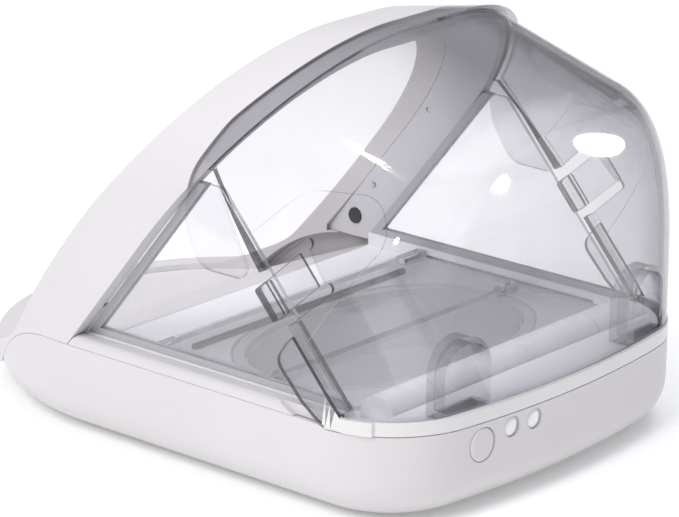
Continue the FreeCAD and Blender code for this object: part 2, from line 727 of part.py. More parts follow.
def strip_zone(grow):
    """Side outline of the strip that laps over the hoop's rear edge."""
    top = HEIGHT + 40
    points = [(EAR_FRONT_Y - grow, 112), (EAR_FRONT_Y - grow, 146), (plane_y(168) - LAP - grow, 168),
              (plane_y(top) - LAP - grow, top), (plane_y(top) + 3, top), (plane_y(112) + 3, 112)]
    return side_slab(points, [0, 25, 25, 0, 0, 0], -FAR, FAR)


def lower_ear():
    points = [(92.5, 83), (89, 79.5), (82.5, 70), (98, 54.0), (108, BAND_Z + 2.4), (122, BAND_Z + 0.2),
              (135, BAND_Z + 0.2), (135, RAIL_Z), (SEAM_FOOT_Y + 1, RAIL_Z)]
    return side_slab(points, [0, 4, 6, 14, 12, 10, 0, 0, 0], -FAR, FAR)


def scoop(grow, y0, y1):
    """Arch-shaped thumb scoop in the rear wall, right-hand side."""
    x0 = SCOOP_X - SCOOP_HALF - grow
    x1 = SCOOP_X + SCOOP_HALF + grow
    z0 = SCOOP_Z[0] - grow
    z1 = SCOOP_Z[1] + grow
    round_r = SCOOP_HALF + grow - 0.5
    return front_slab([(x0, z0), (x1, z0), (x1, z1), (x0, z1)], [1, 1, round_r, round_r], y0, y1)


def release_gap():
    """Room in the hood for the tongue and the round-ended slot on each side of it."""
    low = TONGUE_MID - TONGUE_HALF
    high = TONGUE_MID + TONGUE_HALF
    width = 2 * SLOT_R
    end = TONGUE_L + SLOT_R
    bite = SLOT_R - 0.05
    span = [(low - 0.1, -6), (high + 0.1, -6), (high + 0.1, TONGUE_L), (low - 0.1, TONGUE_L)]
    gap = seam_slab(span, 0, 90, 130)
    round_end = [0, 0, bite, bite]
    upper = seam_slab([(high, -6), (high + width, -6), (high + width, end), (high, end)], round_end, 90, 130)
    lower = seam_slab([(low - width, -6), (low, -6), (low, end), (low - width, end)], round_end, 90, 130)
    return gap.fuse([upper, lower])


def release_tab():
    """Right-hand tongue with its ribbed clip at the seam end."""
    low = TONGUE_MID - TONGUE_HALF
    high = TONGUE_MID + TONGUE_HALF
    plate_x = (HALF_W - STRIP - WALL + 0.1, HALF_W - STRIP - PAD_DEPTH - 0.1)
    tongue = seam_slab([(low, -1), (high, -1), (high, TONGUE_L - 0.3), (low, TONGUE_L - 0.3)], 0, *plate_x)
    grip = seam_slab([(low, -6.5), (high, -6.5), (high, 2), (low, 2)], [1.5, 1.5, 0.8, 0.8], *GRIP_X)
    tab = tongue.fuse(grip)
    rib_x = GRIP_X[1] - 0.1
    for i in range(3):
        behind = -4.9 + 2.2 * i
        start = (rib_x, *seam_point(low + 2.0, behind))
        end = (rib_x, *seam_point(high - 2.0, behind))
        tab = tab.fuse(rod(0.6, start, end))
    return tab.removeSplitter()


def rear_hood():
    skin = hood_solid(STRIP, SEAM_Z + 0.3).cut(hood_solid(STRIP + WALL, SEAM_Z - 5))
    skin = skin.common(hood_side())
    pad = side_slab(PAD, PAD_R, 60, 130)
    pad = pad.common(hood_solid(-5, 60).cut(hood_solid(STRIP + PAD_DEPTH, 50)))
    skin = skin.cut(pad).cut(mirrored(pad))
    rear_skin = hood_solid(0, BAND_Z).cut(hood_solid(STRIP + 0.05, BAND_Z - 6))
    ears = rear_skin.common(upper_ear().fuse(lower_ear()))
    strip = hoop_solid(ARCH, 0, 60, -3.0).cut(hoop_solid(ARCH, STRIP, 90, -40)).common(strip_zone(0))
    lip = hoop_solid(ARCH, STRIP - 0.5, 0.05 - HOOD_GAP, -3.0).cut(hoop_solid(ARCH, STRIP + WALL, 40, -40))
    lip = lip.common(block(-FAR, FAR, -60, 150, CORNER_Z - 2, 260))
    band = plan_prism(0, BAND_Z + 0.2, RAIL_Z).cut(plan_prism(STRIP + 0.3, 0, 100))
    band = band.common(band_step(0)).common(block(-FAR, FAR, 112, 200, 0, 100))
    solid = skin.fuse([ears, strip, lip, band, seam_rib()])
    for flip in (False, True):
        wall = scoop(WALL, SCOOP_Y - WALL, 175).common(hood_solid(STRIP, SEAM_Z + 0.3))
        hole = scoop(0, SCOOP_Y, 190)
        if flip:
            wall = mirrored(wall)
            hole = mirrored(hole)
        solid = solid.fuse(wall).cut(hole)
    gap = release_gap()
    solid = solid.cut(gap).cut(mirrored(gap))
    return solid.removeSplitter()


# ------------------------------------------------------------------ lid

def lid_rear_panel():
    z0 = PIVOT_Z + 0.1
    z1 = z0 + LID_T
    wide = block(-LID_HALF_W, LID_HALF_W, MID_Y + 0.15, BARREL_Y - 11.2, z0, z1)
    root = block(-59.5, 59.5, MID_Y + 20, BARREL_Y - 8.4, z0, z1)
    panel = wide.fuse(root)
    for side in (1, -1):
        for x0, x1 in ((80.0, 84.2), (88.8, 93.0)):
            panel = panel.fuse(knuckle(side, x0, x1, 1))
        panel = panel.cut(knuckle_room(side, 84.4, 88.6, 1))
    panel = panel.cut(rod(BARREL_R, (-59.5, BARREL_Y, PIVOT_Z), (59.5, BARREL_Y, PIVOT_Z)))
    for side in (1, -1):
        panel = panel.cut(rod(PIN_R, (side * 70, MID_Y, PIVOT_Z), (side * 95, MID_Y, PIVOT_Z)))
    return panel.removeSplitter()


def knuckle(side, x0, x1, rearward):
    """One hinge knuckle with a web to its panel."""
    a, b = sorted((side * x0, side * x1))
    eye = rod(KNUCKLE_R, (a, MID_Y, PIVOT_Z), (b, MID_Y, PIVOT_Z))
    y0, y1 = sorted((MID_Y, MID_Y + rearward * 5.0))
    web = block(a, b, y0, y1, PIVOT_Z + 0.1, PIVOT_Z + KNUCKLE_R)
    return eye.fuse(web)


def knuckle_room(side, x0, x1, rearward):
    """Notch in one panel that leaves room for the other panel's knuckle through its whole swing."""
    a, b = sorted((side * x0, side * x1))
    y0, y1 = sorted((MID_Y - rearward * 3.0, MID_Y + rearward * 3.2))
    return block(a, b, y0, y1, PIVOT_Z - 3, PIVOT_Z + 5)


def lid_front_panel():
    z0 = PIVOT_Z + 0.1
    z1 = z0 + LID_T
    panel = block(-LID_HALF_W, LID_HALF_W, FRONT_Y - 1.0, MID_Y - 0.15, z0, z1)
    bar = rod(1.9, (-LID_HALF_W, FRONT_Y + 1.2, z1), (LID_HALF_W, FRONT_Y + 1.2, z1))
    panel = panel.fuse(bar)
    for side in (1, -1):
        panel = panel.fuse(knuckle(side, 84.6, 88.4, -1))
        for x0, x1 in ((79.8, 84.4), (88.6, 93.2)):
            panel = panel.cut(knuckle_room(side, x0, x1, -1))
        a, b = sorted((side * 82.0, side * 98.6))
        lug = block(a, b, FRONT_Y - 1.2, FRONT_Y + 5.0, z0, z1 + 1.2)
        foot = rod(PIN_R + 0.75, (side * 84, FRONT_Y, PIVOT_Z), (side * 98.6, FRONT_Y, PIVOT_Z))
        panel = panel.fuse([lug, foot])
        panel = panel.cut(rod(PIN_R, (side * 88, FRONT_Y, PIVOT_Z), (side * 110, FRONT_Y, PIVOT_Z)))
        panel = panel.cut(rod(PIN_R, (side * 70, MID_Y, PIVOT_Z), (side * 95, MID_Y, PIVOT_Z)))
    return panel.removeSplitter()


def lid_hinge_pins():
    pin = rod(PIN_R - 0.04, (80.0, MID_Y, PIVOT_Z), (93.0, MID_Y, PIVOT_Z))
    return both(pin)


def lid_guide_pins():
    pin = rod(PIN_R, (88.0, FRONT_Y, PIVOT_Z), (103.3, FRONT_Y, PIVOT_Z))
    return both(pin)


def lid_seal():
    """Soft gasket under the front panel, along its front edge."""
    y0 = FRONT_Y + 6
    y1 = FRONT_Y + 9
    return plan_slab([(-78, y0), (78, y0), (78, y1), (-78, y1)], [1.4] * 4, DECK_Z + 0.4, PIVOT_Z + 0.1)


def hinge_barrel():
    return tube(BARREL_R, SHAFT_R, (-60, BARREL_Y, PIVOT_Z), (60, BARREL_Y, PIVOT_Z))


def lid_shaft():
    return rod(SHAFT_R, (-91, BARREL_Y, PIVOT_Z), (91, BARREL_Y, PIVOT_Z))


def shaft_bushes():
    bush = tube(BUSH_R, SHAFT_R + 0.05, (86.0, BARREL_Y, PIVOT_Z), (91.0, BARREL_Y, PIVOT_Z))
    return both(bush)


def barrel_end():
    """Right-hand fixed end of the barrel, with the bush seat."""
    body = rod(BARREL_R, (60.4, BARREL_Y, PIVOT_Z), (92.5, BARREL_Y, PIVOT_Z))
    body = body.cut(rod(SHAFT_R + 0.5, (60, BARREL_Y, PIVOT_Z), (91.3, BARREL_Y, PIVOT_Z)))
    return body.cut(rod(BUSH_R, (86, BARREL_Y, PIVOT_Z), (91.3, BARREL_Y, PIVOT_Z)))


def left_barrel_end():
    body = mirrored(barrel_end())
    body = body.cut(rod(8.5, (GEAR_X[0] - 1.5, BARREL_Y, PIVOT_Z), (GEAR_X[1] + 1.5, BARREL_Y, PIVOT_Z)))
    return body.cut(block(GEAR_X[0] - 1.5, GEAR_X[1] + 1.5, BARREL_Y - 8.5, BARREL_Y + 12, 30, PIVOT_Z))


# ------------------------------------------------------------------ drive

def involute_point(base_r, t):
    return (base_r * (math.cos(t) + t * math.sin(t)), base_r * (math.sin(t) - t * math.cos(t)))


def gear_face(teeth, turn, place):
    """Involute gear outline, 20 degree pressure angle, with a little backlash."""
    pitch_r = MODULE * teeth / 2
    base_r = pitch_r * math.cos(math.radians(20))
    tip_r = pitch_r + 0.9 * MODULE
    root_r = pitch_r - 1.2 * MODULE
    inv = math.tan(math.radians(20)) - math.radians(20)
    half = math.pi / (2 * teeth) + inv - 0.05 / pitch_r
    start_r = max(base_r, root_r + 0.02)
    steps = 5
    flank = []
    for i in range(steps):
        r = start_r + (tip_r - start_r) * i / (steps - 1)
        t = math.sqrt(max((r / base_r) ** 2 - 1, 0))
        x, y = involute_point(base_r, t)
        flank.append((r, half - math.atan2(y, x)))
    points = []
    for k in range(teeth):
        middle = turn + 2 * math.pi * k / teeth
        points.append((root_r, middle - flank[0][1]))
        points += [(r, middle - a) for r, a in flank]
        points += [(r, middle + a) for r, a in reversed(flank)]
        points.append((root_r, middle + flank[0][1]))
    corners = [place(r * math.cos(a), r * math.sin(a)) for r, a in points]
    return Part.Face(Part.makePolygon(corners + [corners[0]]))


def gear(teeth, x_range, y, z, turn, bore):
    x0, x1 = x_range
    face = gear_face(teeth, turn, lambda u, v: Vector(x0, y + u, z + v))
    wheel = face.extrude(Vector(x1 - x0, 0, 0))
    return wheel.cut(rod(bore, (x0 - 1, y, z), (x1 + 1, y, z)))


def mesh_turn(teeth_a, turn_a, at_a, teeth_b, at_b):
    """Rotation of wheel b that puts a gap opposite a tooth of wheel a."""
    toward = math.atan2(at_b[1] - at_a[1], at_b[0] - at_a[0])
    phase = (toward - turn_a) * teeth_a / (2 * math.pi)
    away = toward + math.pi
    return away + (phase - 0.5) * 2 * math.pi / teeth_b


SHAFT_AT = (BARREL_Y, PIVOT_Z)
IDLER_REACH = MODULE * (SHAFT_TEETH + IDLER_TEETH) / 2
IDLER_AT = (IDLER_Y, PIVOT_Z - math.sqrt(IDLER_REACH ** 2 - (IDLER_Y - BARREL_Y) ** 2))
LARGE_REACH = MODULE * (IDLER_TEETH + SMALL_TEETH) / 2
LARGE_AT = (LARGE_Y, IDLER_AT[1] - math.sqrt(LARGE_REACH ** 2 - (IDLER_Y - LARGE_Y) ** 2))
PINION_AT = (LARGE_Y + MODULE * (LARGE_TEETH + PINION_TEETH) / 2, LARGE_AT[1])
IDLER_TURN = mesh_turn(SHAFT_TEETH, 0.0, SHAFT_AT, IDLER_TEETH, IDLER_AT)
SMALL_TURN = mesh_turn(IDLER_TEETH, IDLER_TURN, IDLER_AT, SMALL_TEETH, LARGE_AT)
PINION_TURN = mesh_turn(LARGE_TEETH, 0.0, LARGE_AT, PINION_TEETH, PINION_AT)


def shaft_gear():
    return gear(SHAFT_TEETH, GEAR_X, SHAFT_AT[0], SHAFT_AT[1], 0.0, SHAFT_R)


def idler_gear():
    return gear(IDLER_TEETH, GEAR_X, IDLER_AT[0], IDLER_AT[1], IDLER_TURN, AXLE_R + 0.05)


def compound_gear():
    small = gear(SMALL_TEETH, (GEAR_X[0], LARGE_X[0]), LARGE_AT[0], LARGE_AT[1], SMALL_TURN, AXLE_R + 0.05)
    large = gear(LARGE_TEETH, LARGE_X, LARGE_AT[0], LARGE_AT[1], 0.0, AXLE_R + 0.05)
    return small.fuse(large).removeSplitter()


def motor_pinion():
    x_range = (LARGE_X[0] - 0.5, LARGE_X[1] + 0.5)
    return gear(PINION_TEETH, x_range, PINION_AT[0], PINION_AT[1], PINION_TURN, MOTOR_SHAFT_R)


def gear_axles():
    axles = [rod(AXLE_R, (CHEEK_X[0][0], y, z), (CHEEK_X[1][1], y, z)) for y, z in (IDLER_AT, LARGE_AT)]
    return Part.makeCompound(axles)


def gearbox_frame():
    cheeks = []
    for x0, x1 in CHEEK_X:
        cheeks.append(side_slab(CHEEK, CHEEK_ROUND, x0, x1))
    floor = block(CHEEK_X[0][0], CHEEK_X[1][1], 111, 117.6, 4.2, 5.4)
    frame = cheeks[0].fuse([cheeks[1], floor])
    for y, z in (IDLER_AT, LARGE_AT):
        frame = frame.cut(rod(AXLE_R, (CHEEK_X[0][0] - 1, y, z), (CHEEK_X[1][1] + 1, y, z)))
    frame = frame.cut(rod(3.0, (CHEEK_X[1][0] - 1, *PINION_AT), (CHEEK_X[1][1] + 1, *PINION_AT)))
    for x in GEARBOX_SCREW_X:
        frame = frame.cut(rod(1.3, (x, GEARBOX_SCREW_Y, 0), (x, GEARBOX_SCREW_Y, 8)))
    return frame.removeSplitter()


def gearbox_screws():
    screws = []
    y = GEARBOX_SCREW_Y
    for x in GEARBOX_SCREW_X:
        screw = rod(1.2, (x, y, FOOT_LIFT + WALL), (x, y, 5.5))
        screws.append(screw.fuse(rod(1.9, (x, y, 5.42), (x, y, 5.8))))
    return Part.makeCompound(screws)


def motor():
    y, z = PINION_AT
    can = rod(MOTOR_R, (MOTOR_X[0], y, z), (MOTOR_X[1], y, z))
    can = can.common(block(-100, 0, y - MOTOR_R, y + MOTOR_R, z - MOTOR_FLAT, z + MOTOR_FLAT))
    nose = rod(2.9, (MOTOR_X[0] - 1.8, y, z), (MOTOR_X[0], y, z))
    back = rod(4.0, (MOTOR_X[1], y, z), (MOTOR_X[1] + 2.0, y, z))
    bearing = rod(MOTOR_SHAFT_R + 0.05, (MOTOR_X[0] - 5, y, z), (MOTOR_X[0] + 8, y, z))
    return can.fuse([nose, back]).cut(bearing)


def motor_shaft():
    return rod(MOTOR_SHAFT_R, (LARGE_X[0] - 0.4, *PINION_AT), (MOTOR_X[0] + 7.5, *PINION_AT))


# ------------------------------------------------------------------ bowl

def bowl():
    scale = (RIM_Z[1] - BOWL_Z - 0.1) / BOWL_H
    rows = [(a, b, z * scale) for a, b, z in well_rows(0.0)]
    outer = lofted(rows, BOWL_Z)
    low = BOWL_LIP
    high = BOWL_LIP - 0.6
    rim = oval_loft([(BOWL_A + low, BOWL_B + low, RIM_Z[0]), (BOWL_A + high, BOWL_B + high, RIM_Z[1])])
    inner = lofted([(a - BOWL_T, b - BOWL_T, z + 2.0) for a, b, z in rows], BOWL_Z)
    mouth = oval_loft([(BOWL_A - BOWL_T, BOWL_B - BOWL_T, RIM_Z[0] - 2.0),
                       (BOWL_A - BOWL_T + 0.6, BOWL_B - BOWL_T + 0.6, RIM_Z[1] + 2.0)])
    return outer.fuse(rim).cut(inner).cut(mouth).removeSplitter()


def bowl_mat():
    return upright_oval(-BOWL_SINK - 1.0, WELL_FLOOR + 0.1, BOWL_Z - 0.2)


# ------------------------------------------------------------------ controls and power

def open_close_button():
    face_y = rear_y(BUTTON_X) + 0.2
    back_y = BUTTON_BACK_Y
    cap = rod(BUTTON_R - 0.25, (BUTTON_X, back_y, BUTTON_Z), (BUTTON_X, face_y, BUTTON_Z))
    front = [e for e in cap.Edges if e.Closed and e.Vertexes[0].Y > face_y - 0.1]
    cap = cap.makeFillet(0.8, front)
    cap = cap.cut(rod(BUTTON_R - 2.0, (BUTTON_X, 150, BUTTON_Z), (BUTTON_X, face_y - 2.0, BUTTON_Z)))
    stem = rod(2.0, (BUTTON_X, BOARD_Y + 4.9, BUTTON_Z), (BUTTON_X, face_y - 1.0, BUTTON_Z))
    flange_y = back_y + 1.6
    flange = tube(BUTTON_R + 1.4, BUTTON_R - 2.0,
                  (BUTTON_X, back_y, BUTTON_Z), (BUTTON_X, flange_y, BUTTON_Z))
    return cap.fuse([stem, flange]).removeSplitter()


def button_switch():
    body = block(BUTTON_X - 3, BUTTON_X + 3, BOARD_Y + BOARD_T, BOARD_Y + 3.2, BUTTON_Z - 3, BUTTON_Z + 3)
    return body.fuse(rod(1.5, (BUTTON_X, BOARD_Y + 3.2, BUTTON_Z), (BUTTON_X, BOARD_Y + 3.6, BUTTON_Z)))


def board_solid():
    return block(*BOARD_X, BOARD_Y, BOARD_Y + BOARD_T, *BOARD_Z)


def circuit_board():
    board = board_solid()
    chips = [block(16, 26, BOARD_Y - 1.4, BOARD_Y, 14, 24), block(34, 40, BOARD_Y - 2.0, BOARD_Y, 12, 20)]
    chips.append(rod(3.2, (50, BOARD_Y - 6, 16), (50, BOARD_Y, 16)))
    return board.fuse(chips)


def indicator_leds():
    leds = []
    for x in LENS_X:
        leds.append(block(x - 1.6, x + 1.6, BOARD_Y + BOARD_T, BOARD_Y + 2.6, LENS_Z - 1.4, LENS_Z + 1.4))
    return Part.makeCompound(leds)


def indicator_lenses():
    lenses = []
    for x in LENS_X:
        seat = rear_y(x) - 1.3
        stem = rod(LENS_R - 1.3, (x, BOARD_Y + 4.0, LENS_Z), (x, seat, LENS_Z))
        dome_r = (LENS_R ** 2 + LENS_RISE ** 2) / (2 * LENS_RISE)
        dome = Part.makeSphere(dome_r, Vector(x, seat + LENS_RISE - dome_r, LENS_Z))
        dome = dome.common(rod(LENS_R - 0.15, (x, seat, LENS_Z), (x, seat + 5, LENS_Z)))
        lenses.append(stem.fuse(dome))
    return Part.makeCompound(lenses)


def battery_box():
    """Right-hand battery box: roof, end walls and cheeks over two cells side by side."""
    x0 = CELL_X[0] - CELL_R - 1.8
    x1 = CELL_X[1] + CELL_R + 1.8
    z1 = CELL_Z + CELL_R + 1.8
    box = block(x0, x1, CELL_Y[0] - 3.2, CELL_Y[1] + 3.2, FOOT_LIFT + WALL, z1)
    room = block(x0 + 1.5, x1 - 1.5, CELL_Y[0] - 1.7, CELL_Y[1] + 1.7, 0, CELL_Z)
    for x in CELL_X:
        room = room.fuse(rod(CELL_R + 0.25, (x, CELL_Y[0] - 1.7, CELL_Z), (x, CELL_Y[1] + 1.7, CELL_Z)))
    return box.cut(room)


def batteries():
    cells = []
    for side in (1, -1):
        for x in CELL_X:
            can = rod(CELL_R, (side * x, CELL_Y[0], CELL_Z), (side * x, CELL_Y[1] - 1.5, CELL_Z))
            tip = rod(3.5, (side * x, CELL_Y[1] - 1.5, CELL_Z), (side * x, CELL_Y[1], CELL_Z))
            cells.append(can.fuse(tip))
    return Part.makeCompound(cells)


def battery_contacts():
    plates = []
    for side in (1, -1):
        for x in CELL_X:
            for y0, y1 in ((CELL_Y[0] - 1.6, CELL_Y[0] - 0.2), (CELL_Y[1] + 0.2, CELL_Y[1] + 1.6)):
                plates.append(block(side * x - 6, side * x + 6, y0, y1, CELL_Z - 7, CELL_Z + 7))
    return Part.makeCompound(plates)


def battery_door():
    """Right-hand door, flush in the underside: round hinge edge at the rear, finger catch in front."""
    door = door_outline(0.4, FOOT_LIFT, FOOT_LIFT + DOOR_T)
    rear = [e for e in door.Edges
            if min(v.Y for v in e.Vertexes) > DOOR_Y[1] - 0.5 and e.Length > 20]
    door = door.makeFillet(DOOR_T / 2 - 0.05, rear)
    catch_x = (DOOR_X[0] + DOOR_X[1]) / 2
    catch = block(catch_x - 9, catch_x + 9, DOOR_Y[0] + 2.0, DOOR_Y[0] + 10, 0, FOOT_LIFT + 0.8)
    return door.cut(catch)


# ------------------------------------------------------------------ build

def build():
    right_trim = side_trim()
    right_window = side_window()
    right_frame = window_frame()
    right_tab = release_tab()
    right_box = battery_box()
    right_door = battery_door()
    return {
        "base_tub": base_tub(),
        "base_plate": base_plate(),
        "rubber_feet": rubber_feet(),
        "base_screws": base_screws(),
        "deck": deck(),
        "bowl_well": bowl_well(),
        "right_side_trim": right_trim,
        "left_side_trim": mirrored(right_trim),
        "chin_tray": chin_tray(),
        "hoop_shell": hoop_shell(),
        "hoop_liner": hoop_liner(),
        "liner_screws": liner_screws(),
        "sensor_windows": sensor_windows(),
        "reader_coil": reader_coil(),
        "right_window": right_window,
        "left_window": mirrored(right_window),
        "right_window_frame": right_frame,
        "left_window_frame": mirrored(right_frame),
        "rear_hood": rear_hood(),
        "right_release_tab": right_tab,
        "left_release_tab": mirrored(right_tab),
        "lid_rear_panel": lid_rear_panel(),
        "lid_front_panel": lid_front_panel(),
        "lid_hinge_pins": lid_hinge_pins(),
        "lid_guide_pins": lid_guide_pins(),
        "lid_seal": lid_seal(),
        "hinge_barrel": hinge_barrel(),
        "lid_shaft": lid_shaft(),
        "shaft_bushes": shaft_bushes(),
        "right_barrel_end": barrel_end(),
        "left_barrel_end": left_barrel_end(),
        "shaft_gear": shaft_gear(),
        "idler_gear": idler_gear(),
        "compound_gear": compound_gear(),
        "motor_pinion": motor_pinion(),
        "gear_axles": gear_axles(),
        "gearbox_frame": gearbox_frame(),
        "gearbox_screws": gearbox_screws(),
        "motor": motor(),
        "motor_shaft": motor_shaft(),
        "bowl": bowl(),
        "bowl_mat": bowl_mat(),
        "open_close_button": open_close_button(),
        "button_switch": button_switch(),
        "circuit_board": circuit_board(),
        "indicator_leds": indicator_leds(),
        "indicator_lenses": indicator_lenses(),
        "right_battery_box": right_box,
        "left_battery_box": mirrored(right_box),
        "batteries": batteries(),
        "battery_contacts": battery_contacts(),
        "right_battery_door": right_door,
        "left_battery_door": mirrored(right_door),
    }


for name, shape in build().items():
    shape.exportStep("parts/" + name + ".step")
    box = shape.BoundBox
    print(f"{name:20s} solids {len(shape.Solids)} valid {shape.isValid()}"
          f" volume {shape.Volume / 1000:.2f} cm3")
    print(f"{'':20s} X {box.XMin:7.1f} {box.XMax:7.1f}  Y {box.YMin:7.1f} {box.YMax:7.1f}"
          f"  Z {box.ZMin:7.1f} {box.ZMax:7.1f}")
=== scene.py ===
import bpy
import bmesh
import math
from mathutils import Matrix, Vector
from mathutils.bvhtree import BVHTree

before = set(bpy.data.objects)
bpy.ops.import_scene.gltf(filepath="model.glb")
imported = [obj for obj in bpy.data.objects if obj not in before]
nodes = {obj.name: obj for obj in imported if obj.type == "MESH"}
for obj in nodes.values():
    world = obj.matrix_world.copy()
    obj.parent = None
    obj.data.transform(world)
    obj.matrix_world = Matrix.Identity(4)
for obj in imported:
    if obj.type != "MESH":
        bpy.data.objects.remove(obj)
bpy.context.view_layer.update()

# ---- base outline at the rear, and the planes that the hood follows (metres) ----
HALF_W = 0.115
HALF_L = 0.1635
BOW_R = 0.480              # gentle bow of the rear face
CORNER_R = 0.050           # rear corners in plan
RAIL_Z = 0.0515
PLANE_Y = -0.044           # leaning plane between hoop and hood, at rail height
PLANE_SLOPE = 1.245
SEAM_FOOT_Y = 0.1196       # side seam of the hood, at rail height
SEAM_TOP_Z = 0.1483        # where it meets the leaning plane

# ---- regions of the hood that take their own material ----
STRIP_LOW_Z = 0.150        # the strip over the hoop starts above this
SCOOP_X = (0.0515, 0.0845)
SCOOP_Y = (0.143, 0.1545)
SCOOP_TOP_Z = 0.086
BAND_TOP_Z = 0.0519
BAND_START_Y = 0.112
BAND_DEPTH = 0.0024
PAD_Y = (0.055, 0.137)
PAD_Z = (0.070, 0.152)
PAD_MIN_X = 0.098
PAD_BEHIND_SEAM = 0.004
PAD_STEP = 0.0013          # the pad's border is lower than this

# ---- fineness of the plastics ----
GRAIN_SCALE = 1800.0
WEAR = 0.08
EDGE_R = 0.0005            # rounding that moulded edges seem to have
SHEET_EDGE_R = 0.0006
CUT_EDGE_R = 0.0007
PLASTIC_IOR = 1.46
SHEET_ROUGH = 0.03
THROUGH_CUT = (0.9, 0.9, 0.92)
PATCH_ANGLE = 22.0         # degrees between faces of one smooth patch
RIM_DEPTH = 0.0055         # a face with more material than this behind it is a cut edge


# ------------------------------------------------------------ node helpers

def new_material(name):
    mat = bpy.data.materials.new(name)
    mat.use_nodes = True
    tree = mat.node_tree
    tree.nodes.clear()
    return mat, tree


def node(tree, kind, **values):
    made = tree.nodes.new(kind)
    for key, value in values.items():
        if hasattr(made, key):
            setattr(made, key, value)
        else:
            made.inputs[key.replace("_", " ")].default_value = value
    return made


def noise(tree, scale, detail=3.0):
    coords = node(tree, "ShaderNodeTexCoord")
    tex = node(tree, "ShaderNodeTexNoise", Scale=scale, Detail=detail, Roughness=0.5)
    tree.links.new(coords.outputs["Object"], tex.inputs["Vector"])
    return tex.outputs["Fac"]


def remap(tree, source, low, high, from_low=0.3, from_high=0.7):
    made = node(tree, "ShaderNodeMapRange")
    made.inputs["From Min"].default_value = from_low
    made.inputs["From Max"].default_value = from_high
    made.inputs["To Min"].default_value = low
    made.inputs["To Max"].default_value = high
    tree.links.new(source, made.inputs["Value"])
    return made.outputs["Result"]


def blend_colour(tree, factor, a, b):
    made = node(tree, "ShaderNodeMix", data_type="RGBA")
    colour_sockets = [s for s in made.inputs if s.type == "RGBA"]
    for socket, value in zip(colour_sockets, (a, b)):
        if hasattr(value, "is_output"):
            tree.links.new(value, socket)
        else:
            socket.default_value = (*value, 1.0)
    tree.links.new(factor, made.inputs[0])
    return [s for s in made.outputs if s.type == "RGBA"][0]


def maths(tree, op, a, b):
    made = node(tree, "ShaderNodeMath", operation=op)
    for i, value in enumerate((a, b)):
        if hasattr(value, "is_output"):
            tree.links.new(value, made.inputs[i])
        else:
            made.inputs[i].default_value = value
    return made.outputs[0]


def edge_mask(tree, radius):
    """1 on convex edges, 0 on open faces."""
    bevel = node(tree, "ShaderNodeBevel", samples=4)
    bevel.inputs["Radius"].default_value = radius
    geo = node(tree, "ShaderNodeNewGeometry")
    dot = node(tree, "ShaderNodeVectorMath", operation="DOT_PRODUCT")
    tree.links.new(bevel.outputs[0], dot.inputs[0])
    tree.links.new(geo.outputs["Normal"], dot.inputs[1])
    return remap(tree, dot.outputs["Value"], 1.0, 0.0, 0.80, 0.995), bevel.outputs[0]


def solid(name, colour, rough, grain=0.02, metallic=0.0, coat=0.0):
    """Opaque plastic, rubber or metal with drift in its colour, grain and worn edges."""
    mat, tree = new_material(name)
    out = node(tree, "ShaderNodeOutputMaterial")
    shader = node(tree, "ShaderNodeBsdfPrincipled")
    shader.inputs["Metallic"].default_value = metallic
    shader.inputs["Coat Weight"].default_value = coat
    shader.inputs["Coat Roughness"].default_value = 0.08
    shader.inputs["IOR"].default_value = PLASTIC_IOR
    second = tuple(c * 0.965 for c in colour)
    body = blend_colour(tree, remap(tree, noise(tree, 14.0), 0.0, 1.0), colour, second)
    mask, normal = edge_mask(tree, EDGE_R)
    worn = tuple(min(1.0, c * (1.0 + WEAR) + WEAR * 0.2) for c in colour)
    scuffs = maths(tree, "MULTIPLY", mask, remap(tree, noise(tree, 320.0), 0.1, 1.0))
    tree.links.new(blend_colour(tree, scuffs, body, worn), shader.inputs["Base Color"])
    spread = remap(tree, noise(tree, 55.0, 4.0), rough * 0.88, min(1.0, rough * 1.14))
    tree.links.new(spread, shader.inputs["Roughness"])
    bump = node(tree, "ShaderNodeBump", Strength=grain, Distance=0.0004)
    tree.links.new(noise(tree, GRAIN_SCALE, 2.0), bump.inputs["Height"])
    tree.links.new(normal, bump.inputs["Normal"])
    tree.links.new(bump.outputs[0], shader.inputs["Normal"])
    tree.links.new(shader.outputs[0], out.inputs["Surface"])
    return mat


